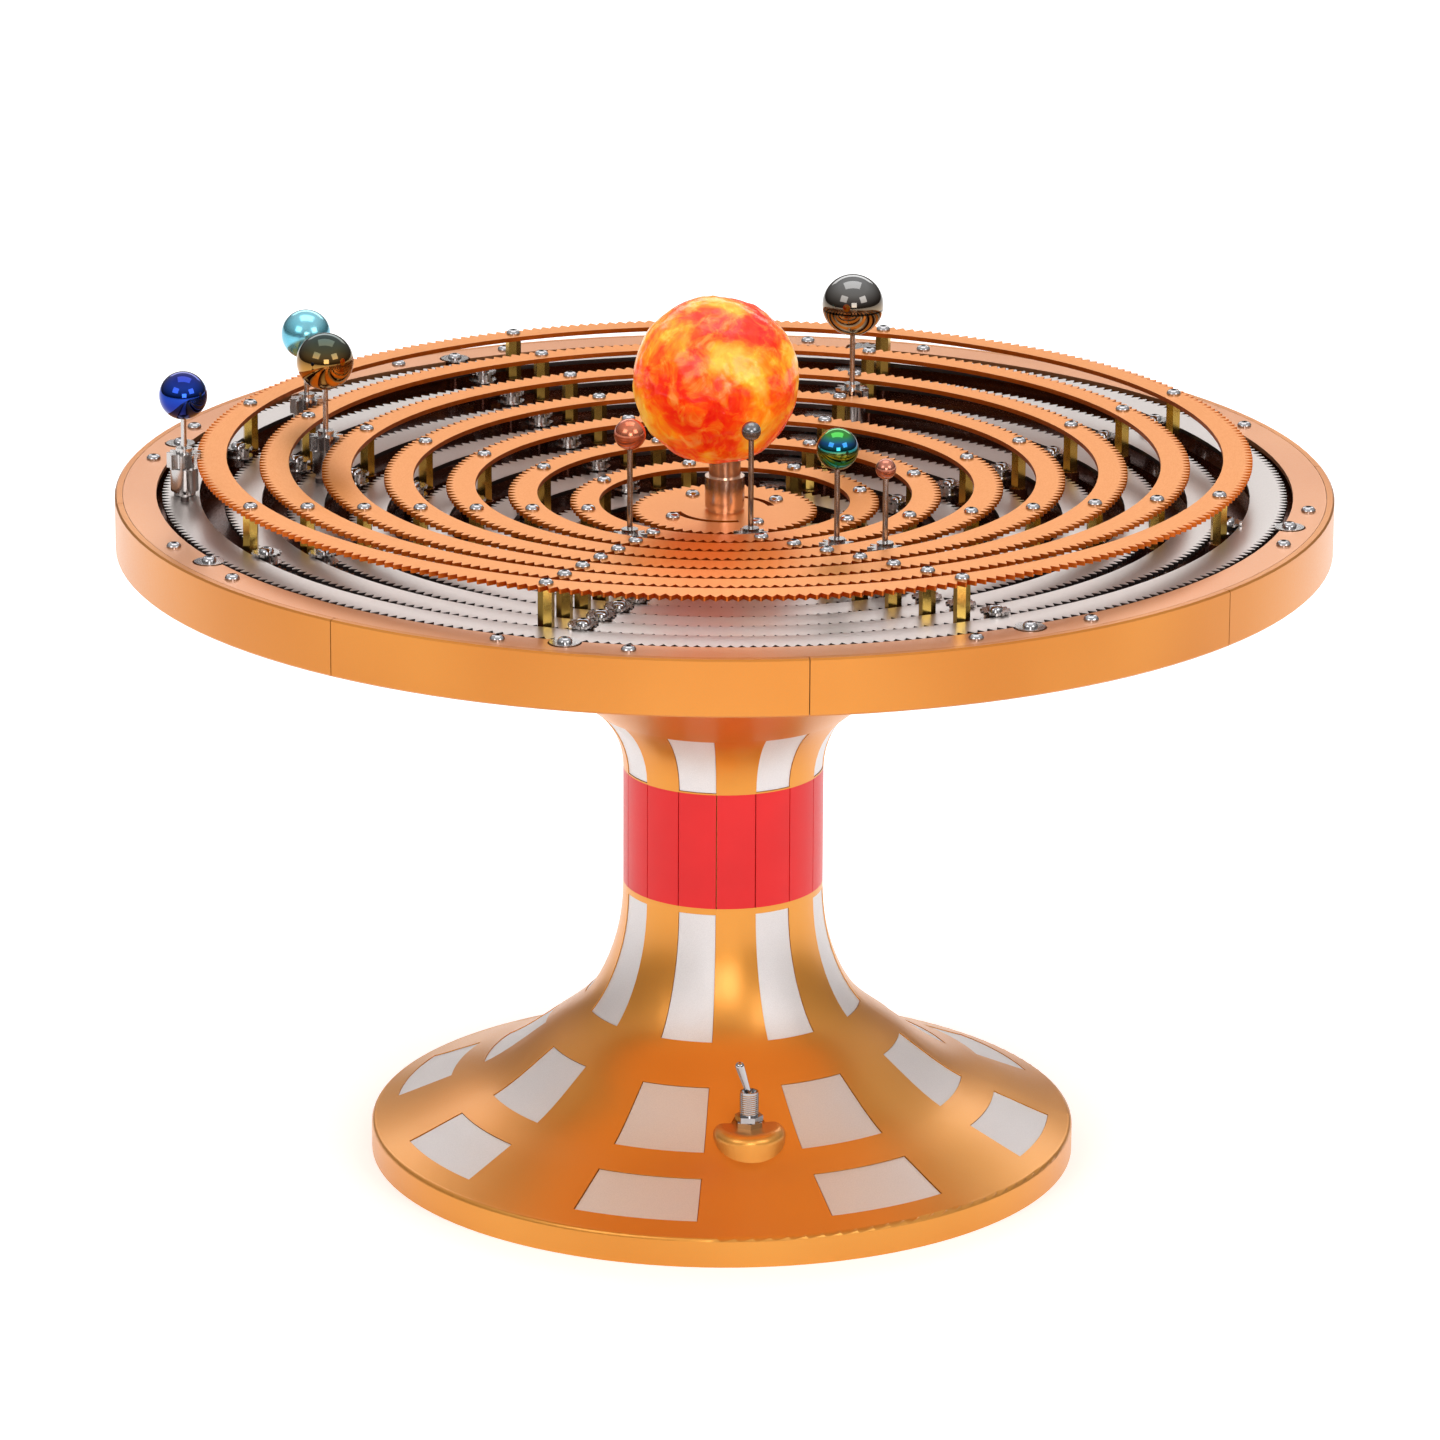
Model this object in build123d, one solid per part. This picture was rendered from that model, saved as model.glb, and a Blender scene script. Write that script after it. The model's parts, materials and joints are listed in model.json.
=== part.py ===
from build123d import *
import math
import os

os.makedirs("parts", exist_ok=True)

# A table-top orrery: eight planets on eight toothed orbit rings, laid out as a shallow bowl
# inside a round table, on a trumpet-shaped foot that holds the motor, batteries and switch.
# Millimetres, Z up, origin at the middle of the underside of the foot. Angles are seen from
# above, from the front (-Y) towards the right (+X).

# ---- gearing ----
gear_module = 1.1
ring_teeth_step = 37            # more teeth on each next larger orbit ring and track
inner_track_teeth = 54          # central disc
inner_ring_teeth = 75           # Mercury's orbit ring
pinion_teeth = 9
addendum = 0.7                  # tooth height above the pitch circle, in modules
pinion_dedendum = 1.1           # tooth depth below the pitch circle, in modules
ring_dedendum = 1.6
ring_tooth_tip = 0.45           # width of a ring tooth's flat tip, in modules
pinion_tooth_share = 0.35       # tooth width at the pitch circle, as a share of the pitch
flank_slope = math.tan(math.radians(20))

# ---- levels of the bowl ----
level_step = 2.9                # each ring lies this much above the next smaller one
outer_ring_level = 229.0        # top of Neptune's orbit ring
outer_track_level = 241.8       # top of Neptune's track
ring_thickness = 1.5
track_thickness = 1.5
running_gap = 0.3               # round shafts, studs and belts that something turns in
glue_gap = 0.05                 # between pieces that are glued or pressed together

# ---- guide rollers, in the gaps between orbit rings ----
station_count = 8
first_station = -15.0
drive_station = 165.0           # the station where drive shafts stand in place of rollers
roller_groove_radius = 3.6
roller_flange_radius = 4.8
roller_bore_radius = 1.35
roller_below = 2.3              # roller foot below the top of the inner ring
flange_lift = 0.35              # flanges clear the ring faces by this
lower_flange_thickness = 0.65
upper_flange_thickness = 0.8
roller_teeth = 14
roller_tooth_height = 0.7
ring_edge_gap = 0.4             # ring's inner edge to the roller groove

# ---- stand-offs and screws ----
standoff_flats = 4.6
standoff_offset = 12.0          # standoff rows stand this far beside the station lines
standoff_bore_radius = 1.3
post_radius = 3.0               # posts on the deck, under rollers and stand-offs
screw_head_radius = 2.375
screw_head_height = 1.5
screw_shank_radius = 1.2
screw_hole_radius = 1.35
screw_socket_flats = 1.6
screw_socket_depth = 0.8
disc_screw_radius = 20.0
disc_screw_angle = 32.0
disc_screw_count = 4
disc_slot_radius = 15.8
disc_slot_width = 2.2
disc_slots = ((-76.0, 17.0), (104.0, 197.0))
track_edge_gap = 0.9            # track's inner edge to the pinion that passes it

# ---- deck: the stepped plate under the rings ----
deck_drop = 7.6                 # tread below the top of its ring
deck_thickness = 2.0
riser_offset = 6.0              # riser outside the middle of a gap
deck_wall_gap = 0.8

# ---- belt drive ----
shaft_radius = 1.25
main_shaft_radius = 2.0
small_pulley_radius = 3.5
large_pulley_radius = 3.85
belt_drop = 6.2                 # belt's middle below the top of its ring
belt_height = 1.6
belt_thickness = 0.8
pulley_height = 1.8
pinion_height = 2.8
pinion_rise = 0.9               # top of a drive pinion above the top of its ring
clip_radius = 2.2
clip_thickness = 0.8

# ---- planets: orbit angle at rest, ball diameter, height of the ball's middle ----
planets = {
    "mercury": (14.2, 6.4, 257.0),
    "venus": (-33.8, 10.3, 259.0),
    "earth": (28.5, 13.5, 260.0),
    "mars": (32.3, 6.6, 257.5),
    "jupiter": (158.0, 21.0, 263.7),
    "saturn": (-103.5, 19.0, 262.7),
    "uranus": (-116.0, 16.6, 262.5),
    "neptune": (-86.0, 15.8, 262.5),
}
rod_radius = 0.9
rod_share_in_ball = 0.45        # how deep the rod goes into its ball, as a share of its radius
stud_radius = 1.5               # fixed pin on the ring that a spindle turns on
stud_height = 8.0
spindle_foot_radius = 3.6
spindle_foot_height = 1.6
barrel_radius = 4.55
spindle_hub_radius = 2.7        # hub that carries the pinion
spindle_pinion_lift = 9.3       # pinion's underside above the top of its ring
spindle_pinion_height = 5.0
pin_offset = 8.0                # small pin beside the barrel, along the ring
pin_radius = 1.4
pin_height = 1.6

# ---- sun ----
sun_diameter = 54.4
sun_height = 265.1              # height of the ball's middle
sun_lean = 3.2                  # its middle stands this far to the left of the post
post_foot_radius = 5.6
post_foot_height = 1.1
post_lower_radius = 6.55
post_lower_height = 11.4        # top of the lower part above the disc
post_upper_radius = 5.25
post_height = 18.5

# ---- table drum ----
table_bottom = 211.2
table_top = 229.7
wall_thickness = 3.6
wall_seam = 0.3
first_wall_seam = 7.5
wall_bevel = 0.6
lip_width = 2.5
rim_plate_thickness = 1.5
rim_plate_gap = 0.15
rim_gap = 8.85                  # gap's middle line outside the last ring to the plate's lip
rim_plate_width = 10.9
rim_ledge_width = 7.6
rim_ledge_thickness = 3.0
rim_screw_inset = 8.0           # rim screws inside the drum's outer face
rim_screw_offset = 6.25         # degrees to each side of a station
notch_radius = 5.3
drive_notch_gap = 0.6
floor_thickness = 1.7
floor_seat = 4.0                # how far the floor rests on the mouth of the flare
floor_gap = 0.15

# ---- foot ----
base_radius = 117.9
base_rim_height = 9.2
base_rim_round = 1.4
neck_radius = 33.3
band_bottom = 93.6
band_top = 133.0
band_thickness = 2.6
band_panels = 16
band_seam = 0.35
shell_thickness = 3.0
sleeve_thickness = 2.9
sleeve_above_band = 3.0
sleeve_below_band = 6.0
sleeve_shoulder = 1.0
cover_thickness = 3.0
cover_gap = 0.4
flare_arc_radius = 28.0
flare_arc_angle = 50.0
flare_mouth_gap = 6             # the mouth lies just outside this gap between rings
flare_mouth_margin = 8.05
flare_flange = 2.0              # flat ring round the mouth that the floor rests on

# ---- silver inlays ----
inlay_columns = 8
inlay_width = 22.0              # degrees
inlay_thickness = 0.9
inlay_recess = 0.3
inlay_gap = 0.12
band_inlay_gap = 0.5            # from the red band's edge to the inlays above it
foot_inlays = (
    (neck_radius + 0.02, neck_radius + 13.1),
    (neck_radius + 26.3, neck_radius + 47.4),
    (base_radius - 26.3, base_radius - 8.0),
)                               # inner and outer radius of each row on the foot

# ---- switch, motor, batteries ----
switch_angle = 7.0
switch_radius = 73.0
boss_radius = 12.0
boss_lift = 1.8                 # top of the boss above the foot's surface at its middle
boss_round = 3.2
boss_depth = 9.0
boss_wall = 2.5
niche_radius = 6.2
bushing_radius = 3.0
bushing_bore_radius = 1.9
bushing_lip = 0.5
bushing_rise = 12.0             # bushing above the boss
nut_flats = 8.0
nut_height = 1.9
switch_body_size = (12.7, 6.8, 8.9)
lever_angle = 17.0              # to each side
lever_length = 10.7
lever_root_radius = 1.1
lever_tip_radius = 1.5
lever_ball_radius = 1.5
lever_pivot_depth = 1.6         # pivot below the mouth of the bushing
lever_pin_radius = 0.5
lever_pin_reach = 1.65
motor_radius = 18.5
motor_length = 46.0
motor_flange_thickness = 3.0
motor_flange_overlap = 1.6      # how far the flange reaches over the sleeve
gearbox_radius = 12.0
gearbox_height = 6.0
battery_box_size = (62.0, 58.0, 18.0)
battery_box_edge = 3.0

planet_names = list(planets)
ring_count = len(planet_names)
ring_step = gear_module * ring_teeth_step / 2
pinion_pitch_radius = gear_module * pinion_teeth / 2
pinion_tip_radius = pinion_pitch_radius + addendum * gear_module


def pitch_radius(teeth):
    return gear_module * teeth / 2


def ring_teeth(i):
    return inner_ring_teeth + ring_teeth_step * (i - 1)


def track_teeth(k):
    return inner_track_teeth + ring_teeth_step * k


def gap_radius(j):
    """Middle of the gap just outside orbit ring j, where rollers and drive pinions stand."""
    return pitch_radius(inner_ring_teeth) + pinion_pitch_radius + ring_step * (j - 1)


def spindle_radius(i):
    return pitch_radius(track_teeth(i - 1)) + pinion_pitch_radius


def ring_inner_radius(i):
    return gap_radius(i - 1) + roller_groove_radius + ring_edge_gap


def ring_level(i):
    return outer_ring_level - level_step * (ring_count - i)


def track_level(k):
    return outer_track_level - level_step * (ring_count - 1 - k)


def deck_level(i):
    return ring_level(i) - deck_drop


def belt_level(i):
    return ring_level(i) - belt_drop


def turned(angle):
    """Plan angle from the front as a turn about Z from the X axis."""
    return angle - 90.0


def place(radius, angle, level=0.0):
    a = math.radians(turned(angle))
    return Location((radius * math.cos(a), radius * math.sin(a), level), (0, 0, turned(angle)))


def stations():
    return [first_station + 360.0 * n / station_count for n in range(station_count)]


def guide_stations(j):
    """Stations with a roller in gap j. The innermost gap leaves out the disc's stand-offs."""
    free = [a for a in stations() if (a - drive_station) % 360 != 0]
    if j > 0:
        return free
    return [a for a in free if min_turn(a, disc_screw_angle, 360.0 / disc_screw_count) > 10]


def min_turn(a, b, step):
    d = (a - b) % step
    return min(d, step - d)


def standoff_places(k):
    if k == 0:
        return [(disc_screw_radius, disc_screw_angle + 360.0 * n / disc_screw_count)
                for n in range(disc_screw_count)]
    r = gap_radius(k)
    shift = math.degrees(math.asin(standoff_offset / r))
    return [(r, a - shift) for a in stations()]


def save(node, solids):
    shape = solids[0] if len(solids) == 1 else Compound(children=solids)
    export_step(shape, f"parts/{node}.step")


def turn_profile(points):
    """Solid of revolution about Z from points (radius, height)."""
    return revolve(Plane.XZ * make_face(Polyline(*points, close=True)), Axis.Z)


def tube(outer, inner, bottom, top):
    face = Face(Wire.make_circle(outer), [Wire.make_circle(inner)])
    return Pos(0, 0, bottom) * extrude(face, top - bottom)


def rod(radius, bottom, top):
    return Pos(0, 0, bottom) * extrude(Face(Wire.make_circle(radius)), top - bottom)


def pinion_outline():
    """Trapezoid teeth, with a gap towards -X."""
    r = pinion_pitch_radius
    half = pinion_tooth_share * math.pi * gear_module / 2
    tip_half = half - addendum * gear_module * flank_slope
    root_half = half + pinion_dedendum * gear_module * flank_slope
    root = r - pinion_dedendum * gear_module
    tip = pinion_tip_radius
    corners = []
    for n in range(pinion_teeth):
        for radius, side in ((root, -root_half), (tip, -tip_half), (tip, tip_half), (root, root_half)):
            corners.append((radius, math.pi + 2 * math.pi * (n + 0.5) / pinion_teeth + side / radius))
    return corners


def ring_outline(teeth, first_tooth):
    """Fine blunt teeth; first_tooth is the turn of one tooth's middle, in degrees."""
    tip = pitch_radius(teeth) + addendum * gear_module
    root = pitch_radius(teeth) - ring_dedendum * gear_module
    half_tip = ring_tooth_tip * gear_module / 2 / tip
    corners = []
    for n in range(teeth):
        a = math.radians(first_tooth) + 2 * math.pi * n / teeth
        corners += [(tip, a - half_tip), (tip, a + half_tip), (root, a + math.pi / teeth)]
    return corners


def toothed_plate(corners, inner, bottom, thickness, holes=()):
    """Flat toothed ring from corners (radius, turn), with a round inner edge and round holes."""
    points = [Vector(r * math.cos(a), r * math.sin(a), 0) for r, a in corners]
    outline = Wire.make_polygon(points, close=True)
    inside = [Wire.make_circle(inner)] if inner else []
    inside += [Wire.make_circle(r, Plane((x, y, 0))) for x, y, r in holes]
    return Pos(0, 0, bottom) * extrude(Face(outline, inside), thickness)


def hexagon(flats, height):
    return extrude(RegularPolygon(flats / 2, 6, major_radius=False), height)


# ---------------------------------------------------------------- orbit rings and tracks

def track(k):
    """Fixed toothed track that planet k + 1 rolls around. Track 0 is the central disc."""
    angle = planets[planet_names[k]][0]
    level = track_level(k) - track_thickness
    holes = []
    for r, a in standoff_places(k):
        p = place(r, a).position
        holes.append((p.X, p.Y, screw_hole_radius))
    inner = 0
    if k:
        inner = spindle_radius(k) + pinion_tip_radius + track_edge_gap
    plate = toothed_plate(ring_outline(track_teeth(k), turned(angle)), inner, level, track_thickness, holes)
    if k == 0:
        for start, end in disc_slots:
            plate -= arc_slot(start, end, level)
    return plate


def arc_slot(start, end, level):
    inner = disc_slot_radius - disc_slot_width / 2
    outer = disc_slot_radius + disc_slot_width / 2
    band = make_face(Polyline((inner, 0), (outer, 0), (outer, 3 * track_thickness),
                              (inner, 3 * track_thickness), close=True))
    cut = revolve(Plane.XZ * band, Axis.Z, end - start)
    return Pos(0, 0, level - track_thickness) * Rot(0, 0, turned(start)) * cut


def orbit_ring(i):
    """Toothed ring with the fixed stud that the planet's spindle turns on, and two small pins."""
    angle = planets[planet_names[i - 1]][0]
    top = ring_level(i)
    ring = toothed_plate(ring_outline(ring_teeth(i), turned(drive_station)), ring_inner_radius(i),
                         top - ring_thickness, ring_thickness)
    stud = place(spindle_radius(i), angle) * rod(stud_radius, top - ring_thickness / 2, top + stud_height)
    ring += stud
    pins = []
    for side in (-1, 1):
        at = place(spindle_radius(i), angle) * Pos(0, side * pin_offset, 0)
        pins.append(at * rod(pin_radius, top, top + pin_height))
    return [ring] + pins


def spindle(i):
    """Foot, barrel, pinion and rod of one planet, bored for the stud."""
    angle, ball, ball_height = planets[planet_names[i - 1]]
    level = ring_level(i)
    pinion_bottom = level + spindle_pinion_lift
    pinion_top = pinion_bottom + spindle_pinion_height
    rod_top = ball_height - ball / 2 + rod_share_in_ball * ball / 2
    bore = stud_radius + running_gap
    bore_top = level + stud_height + running_gap
    body = turn_profile([
        (bore, level + running_gap),
        (spindle_foot_radius, level + running_gap),
        (spindle_foot_radius, level + spindle_foot_height),
        (barrel_radius, level + spindle_foot_height),
        (barrel_radius, pinion_bottom),
        (spindle_hub_radius, pinion_bottom),
        (spindle_hub_radius, pinion_top + spindle_foot_height),
        (rod_radius, pinion_top + spindle_foot_height),
        (rod_radius, rod_top),
        (0, rod_top),
        (0, bore_top),
        (bore, bore_top),
    ])
    pinion = toothed_plate(pinion_outline(), spindle_hub_radius, pinion_bottom, spindle_pinion_height)
    return place(spindle_radius(i), angle) * (body + pinion)


def planet_ball(i):
    angle, ball, height = planets[planet_names[i - 1]]
    bottom = height - ball / 2
    hole = rod(rod_radius + glue_gap, bottom - rod_radius, bottom + rod_share_in_ball * ball / 2 + glue_gap)
    return place(spindle_radius(i), angle) * (Pos(0, 0, height) * Sphere(ball / 2) - hole)


# ---------------------------------------------------------------- rollers, stand-offs, screws

def guide_roller(level, has_upper_flange):
    """Roller whose groove guides the next ring; its lower flange lies over the inner ring."""
    low = level + flange_lift
    low_top = low + lower_flange_thickness
    hub = (roller_groove_radius + roller_flange_radius - roller_tooth_height) / 2
    top = low_top
    points = [
        (roller_bore_radius, level - roller_below),
        (roller_groove_radius, level - roller_below),
        (roller_groove_radius, low),
        (roller_flange_radius, low),
        (roller_flange_radius, low_top),
    ]
    if has_upper_flange:
        top = level + level_step + flange_lift + upper_flange_thickness
        points += [
            (roller_groove_radius, low_top),
            (roller_groove_radius, top - upper_flange_thickness),
            (hub, top - upper_flange_thickness),
            (hub, top),
        ]
    points.append((roller_bore_radius, top))
    roller = turn_profile(points)
    if has_upper_flange:
        roller += Pos(0, 0, top - upper_flange_thickness) * knurled_disc()
    return roller, top


def knurled_disc():
    root = roller_flange_radius - roller_tooth_height
    points = []
    for n in range(roller_teeth):
        for share, radius in ((-0.3, root), (-0.16, roller_flange_radius), (0.16, roller_flange_radius),
                              (0.3, root)):
            a = 2 * math.pi * (n + share) / roller_teeth
            points.append(Vector(radius * math.cos(a), radius * math.sin(a), 0))
    face = Face(Wire.make_polygon(points, close=True), [Wire.make_circle(roller_bore_radius)])
    return extrude(face, upper_flange_thickness)


def gap_level(j):
    return ring_level(1) - level_step + level_step * j


def all_rollers():
    rollers = []
    screws = []
    for j in range(ring_count + 1):
        roller, top = guide_roller(gap_level(j), j < ring_count)
        post_top = gap_level(j) - roller_below
        screw = Pos(0, 0, top) * cap_screw(top - post_top + screw_head_height)
        for angle in guide_stations(j):
            at = place(gap_radius(j), angle)
            rollers.append(at * roller)
            screws.append(at * screw)
    return rollers, screws


def cap_screw(shank):
    """Round-head socket screw, its head sitting on Z = 0."""
    head = revolve(Plane.XZ * make_face([
        Line((0, 0), (screw_head_radius, 0)),
        Line((screw_head_radius, 0), (screw_head_radius, screw_head_height * 0.3)),
        ThreePointArc((screw_head_radius, screw_head_height * 0.3),
                      (screw_head_radius * 0.78, screw_head_height * 0.8),
                      (screw_head_radius * 0.4, screw_head_height)),
        Line((screw_head_radius * 0.4, screw_head_height), (0, screw_head_height)),
        Line((0, screw_head_height), (0, 0)),
    ]), Axis.Z)
    head += rod(screw_shank_radius, -shank, screw_head_height / 2)
    socket = hexagon(screw_socket_flats, screw_head_height)
    socket = Pos(0, 0, screw_head_height - screw_socket_depth) * socket
    return head - socket


def standoff(k):
    bottom = gap_level(k) + (0 if k else level_step)
    height = track_level(k) - track_thickness - bottom
    face = RegularPolygon(standoff_flats / 2, 6, major_radius=False) - Circle(standoff_bore_radius)
    return Pos(0, 0, bottom) * extrude(face, height)


def deck_post(bottom, top):
    return tube(post_radius, standoff_bore_radius, bottom, top)


# ---------------------------------------------------------------- deck and belt drive

def riser_radius(i):
    return gap_radius(i) + riser_offset


flare_mouth_radius = gap_radius(flare_mouth_gap) + flare_mouth_margin
table_radius = gap_radius(ring_count) + rim_gap + lip_width
deck_outer_radius = table_radius - wall_thickness - deck_wall_gap


def deck():
    """Stepped plate, one tread under each ring, with an outer skirt that stands on the floor."""
    skirt_bottom = table_bottom + floor_thickness
    hole = main_shaft_radius + running_gap
    top_side = [(hole, deck_level(1))]
    for i in range(1, ring_count):
        top_side += [(riser_radius(i), deck_level(i)), (riser_radius(i), deck_level(i + 1))]
    top_side += [(deck_outer_radius, deck_level(ring_count)), (deck_outer_radius, skirt_bottom)]
    under = [(deck_outer_radius - deck_thickness, skirt_bottom),
             (deck_outer_radius - deck_thickness, deck_level(ring_count) - deck_thickness)]
    for i in range(ring_count - 1, 0, -1):
        edge = riser_radius(i) + deck_thickness
        under += [(edge, deck_level(i + 1) - deck_thickness), (edge, deck_level(i) - deck_thickness)]
    under.append((hole, deck_level(1) - deck_thickness))
    plate = turn_profile(top_side + under)
    holes = [place(gap_radius(i), drive_station) * rod(shaft_radius + running_gap,
                                                      deck_level(i) - 2 * deck_thickness, deck_level(i) + 1)
             for i in range(1, ring_count + 1)]
    plate -= holes
    posts = []
    for j in range(ring_count + 1):
        tread = deck_level(max(j, 1))
        for angle in guide_stations(j):
            posts.append(place(gap_radius(j), angle) * deck_post(tread, gap_level(j) - roller_below))
    for k in range(ring_count):
        tread = deck_level(max(k, 1))
        for r, a in standoff_places(k):
            posts.append(place(r, a) * deck_post(tread, gap_level(k) + (0 if k else level_step)))
    return plate + posts


def drive_shaft(i):
    """Shaft beside orbit ring i: clip under the deck, driven pulley, driving pulley, pinion."""
    half = pulley_height / 2
    under = deck_level(i) - deck_thickness - running_gap
    pinion_top = ring_level(i) + pinion_rise
    points = [
        (0, under - clip_thickness), (clip_radius, under - clip_thickness),
        (clip_radius, under), (shaft_radius, under),
        (shaft_radius, belt_level(i) - half), (large_pulley_radius, belt_level(i) - half),
        (large_pulley_radius, belt_level(i) + half), (shaft_radius, belt_level(i) + half),
    ]
    if i < ring_count:
        upper = belt_level(i + 1)
        points += [(shaft_radius, upper - half), (small_pulley_radius, upper - half),
                   (small_pulley_radius, upper + half), (shaft_radius, upper + half)]
    points += [(shaft_radius, pinion_top), (0, pinion_top)]
    pinion = toothed_plate(pinion_outline(), 0, pinion_top - pinion_height, pinion_height)
    return place(gap_radius(i), drive_station) * (turn_profile(points) + pinion)


def belt_face(r_start, r_end, distance):
    """Closed belt line round two pulleys, the first at the origin and the second along X."""
    s = (r_start - r_end) / distance
    c = math.sqrt(1 - s * s)
    a = Vector(r_start * s, r_start * c)
    b = Vector(distance + r_end * s, r_end * c)
    a_low = Vector(a.X, -a.Y)
    b_low = Vector(b.X, -b.Y)
    return Wire([
        Edge.make_line(a, b),
        Edge.make_three_point_arc(b, Vector(distance + r_end, 0), b_low),
        Edge.make_line(b_low, a_low),
        Edge.make_three_point_arc(a_low, Vector(-r_start, 0), a),
    ])


def drive_belts():
    """One belt under each ring, from the shaft inside it to the shaft outside it."""
    belts = []
    for i in range(1, ring_count + 1):
        start = gap_radius(i - 1) if i > 1 else 0.0
        distance = gap_radius(i) - start
        r_start = small_pulley_radius + running_gap
        r_end = large_pulley_radius + running_gap
        outer = belt_face(r_start + belt_thickness, r_end + belt_thickness, distance)
        inner = belt_face(r_start, r_end, distance)
        belt = extrude(Face(outer, [inner]), belt_height, dir=(0, 0, 1))
        belts.append(place(start, drive_station, belt_level(i) - belt_height / 2) * belt)
    return belts


# ---------------------------------------------------------------- table drum

def rim_wall():
    """Eight wall segments with a lip and an inner ledge for the rim plate."""
    r = table_radius
    ledge = table_top - rim_plate_thickness
    ledge_inner = r - lip_width - rim_ledge_width
    profile = [
        (r - wall_thickness, table_bottom), (r - wall_bevel, table_bottom), (r, table_bottom + wall_bevel),
        (r, table_top - wall_bevel), (r - wall_bevel, table_top), (r - lip_width, table_top),
        (r - lip_width, ledge), (ledge_inner, ledge), (ledge_inner, ledge - rim_ledge_thickness),
        (r - wall_thickness, ledge - rim_ledge_thickness),
    ]
    turn = 360.0 / station_count
    seam = math.degrees(wall_seam / r)
    segments = []
    face = Plane.XZ * make_face(Polyline(*profile, close=True))
    bare = revolve(face, Axis.Z, turn - seam)
    for n in range(station_count):
        start = first_wall_seam + turn * n
        segment = Rot(0, 0, turned(start + math.degrees(wall_seam / r) / 2)) * bare
        segment -= rim_notches(ledge - 2 * rim_ledge_thickness, table_top)
        segment -= rim_screw_holes(ledge - rim_ledge_thickness - 1, table_top)
        segments.append(segment)
    return segments


def rim_notches(bottom, top):
    notches = []
    for a in stations():
        at_drive = (a - drive_station) % 360 == 0
        radius = pinion_tip_radius + drive_notch_gap if at_drive else notch_radius
        notches.append(place(gap_radius(ring_count), a) * rod(radius, bottom, top))
    return notches


def rim_screw_places():
    radius = table_radius - rim_screw_inset
    return [(radius, a + side * rim_screw_offset) for a in stations() for side in (-1, 1)]


def rim_screw_holes(bottom, top):
    return [place(r, a) * rod(screw_hole_radius, bottom, top) for r, a in rim_screw_places()]


def rim_plate():
    outer = table_radius - lip_width - rim_plate_gap
    plate = tube(outer, outer - rim_plate_width, table_top - rim_plate_thickness, table_top)
    plate -= rim_notches(table_bottom, table_top + 1)
    return plate - rim_screw_holes(table_bottom, table_top + 1)


def table_floor():
    outer = table_radius - wall_thickness - floor_gap
    return tube(outer, flare_mouth_radius - floor_seat, table_bottom, table_bottom + floor_thickness)


# ---------------------------------------------------------------- foot

def curve_at(curve, share, depth):
    """Point of a profile curve, moved inwards (down and towards the axis) by depth."""
    point = curve.position_at(share)
    along = curve.tangent_at(share)
    return Vector(point.X + depth * along.Y, point.Y - depth * along.X)


def skin(curve, start, end, outer_depth, inner_depth, points=9):
    """Face between two lines that follow a profile curve at two depths."""
    shares = [start + (end - start) * n / (points - 1) for n in range(points)]
    outer = [curve_at(curve, s, outer_depth) for s in shares]
    inner = [curve_at(curve, s, inner_depth) for s in shares]
    face = make_face([
        Spline(*outer), Line(outer[-1], inner[-1]), Spline(*reversed(inner)), Line(inner[0], outer[0]),
    ])
    return Plane.XZ * face


def share_at_radius(curve, radius):
    """Share of the curve's length where it reaches a radius; the radius only grows along it."""
    low = 0.0
    high = 1.0
    for _ in range(30):
        middle = (low + high) / 2
        if curve.position_at(middle).X < radius:
            low = middle
        else:
            high = middle
    return (low + high) / 2


def foot_curve():
    """Outer line of the foot from the red band down to the rim: radius, height."""
    reach = base_radius - neck_radius
    drop = band_bottom - base_rim_height
    shape = ((0.0, 1.0), (0.048, 0.694), (0.155, 0.502), (0.311, 0.372), (0.560, 0.195), (0.712, 0.127))
    points = [(neck_radius + reach * x, base_rim_height + drop * z) for x, z in shape]
    points.append((base_radius - base_rim_round, base_rim_height + 0.7 * base_rim_round))
    return Spline(*points, tangents=((0, -1), (0.93, -0.36)))


def flare_curve():
    """Outer line of the neck from the red band up to the table's floor."""
    a = math.radians(flare_arc_angle)
    start = (neck_radius, band_top)
    bend = (neck_radius + flare_arc_radius * (1 - math.cos(a)), band_top + flare_arc_radius * math.sin(a))
    middle = (neck_radius + flare_arc_radius * (1 - math.cos(a / 2)),
              band_top + flare_arc_radius * math.sin(a / 2))
    lower = ThreePointArc(start, middle, bend)
    mouth = (flare_mouth_radius, table_bottom - flare_flange)
    upper = TangentArc(bend, mouth, tangent=(math.sin(a), math.cos(a)))
    return lower, upper


def foot_height(radius):
    curve = foot_curve()
    return curve.position_at(share_at_radius(curve, radius)).Y


boss_top = foot_height(switch_radius) + boss_lift


def inlay_sector(face, width):
    """Revolved piece in every inlay column, width in degrees."""
    piece = revolve(face, Axis.Z, width)
    return [Rot(0, 0, turned(first_station + 360.0 * n / inlay_columns - width / 2)) * piece
            for n in range(inlay_columns)]


def inlay_rows():
    """Each row's curve, its start and end share, and the side of the curve that is inside."""
    foot = foot_curve()
    lower, upper = flare_curve()
    rows = []
    for start, end in foot_inlays:
        rows.append((foot, share_at_radius(foot, start), share_at_radius(foot, end), 1))
    rows.append((lower, band_inlay_gap / lower.length, 1 - band_inlay_gap / lower.length, -1))
    return rows


def inlays():
    pieces = []
    for curve, start, end, side in inlay_rows():
        trim = inlay_gap / curve.length
        face = skin(curve, start + trim, end - trim, side * inlay_recess,
                    side * (inlay_recess + inlay_thickness - inlay_gap))
        gap = math.degrees(inlay_gap / neck_radius)
        pieces += inlay_sector(face, inlay_width - 2 * gap)
    return pieces


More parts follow.
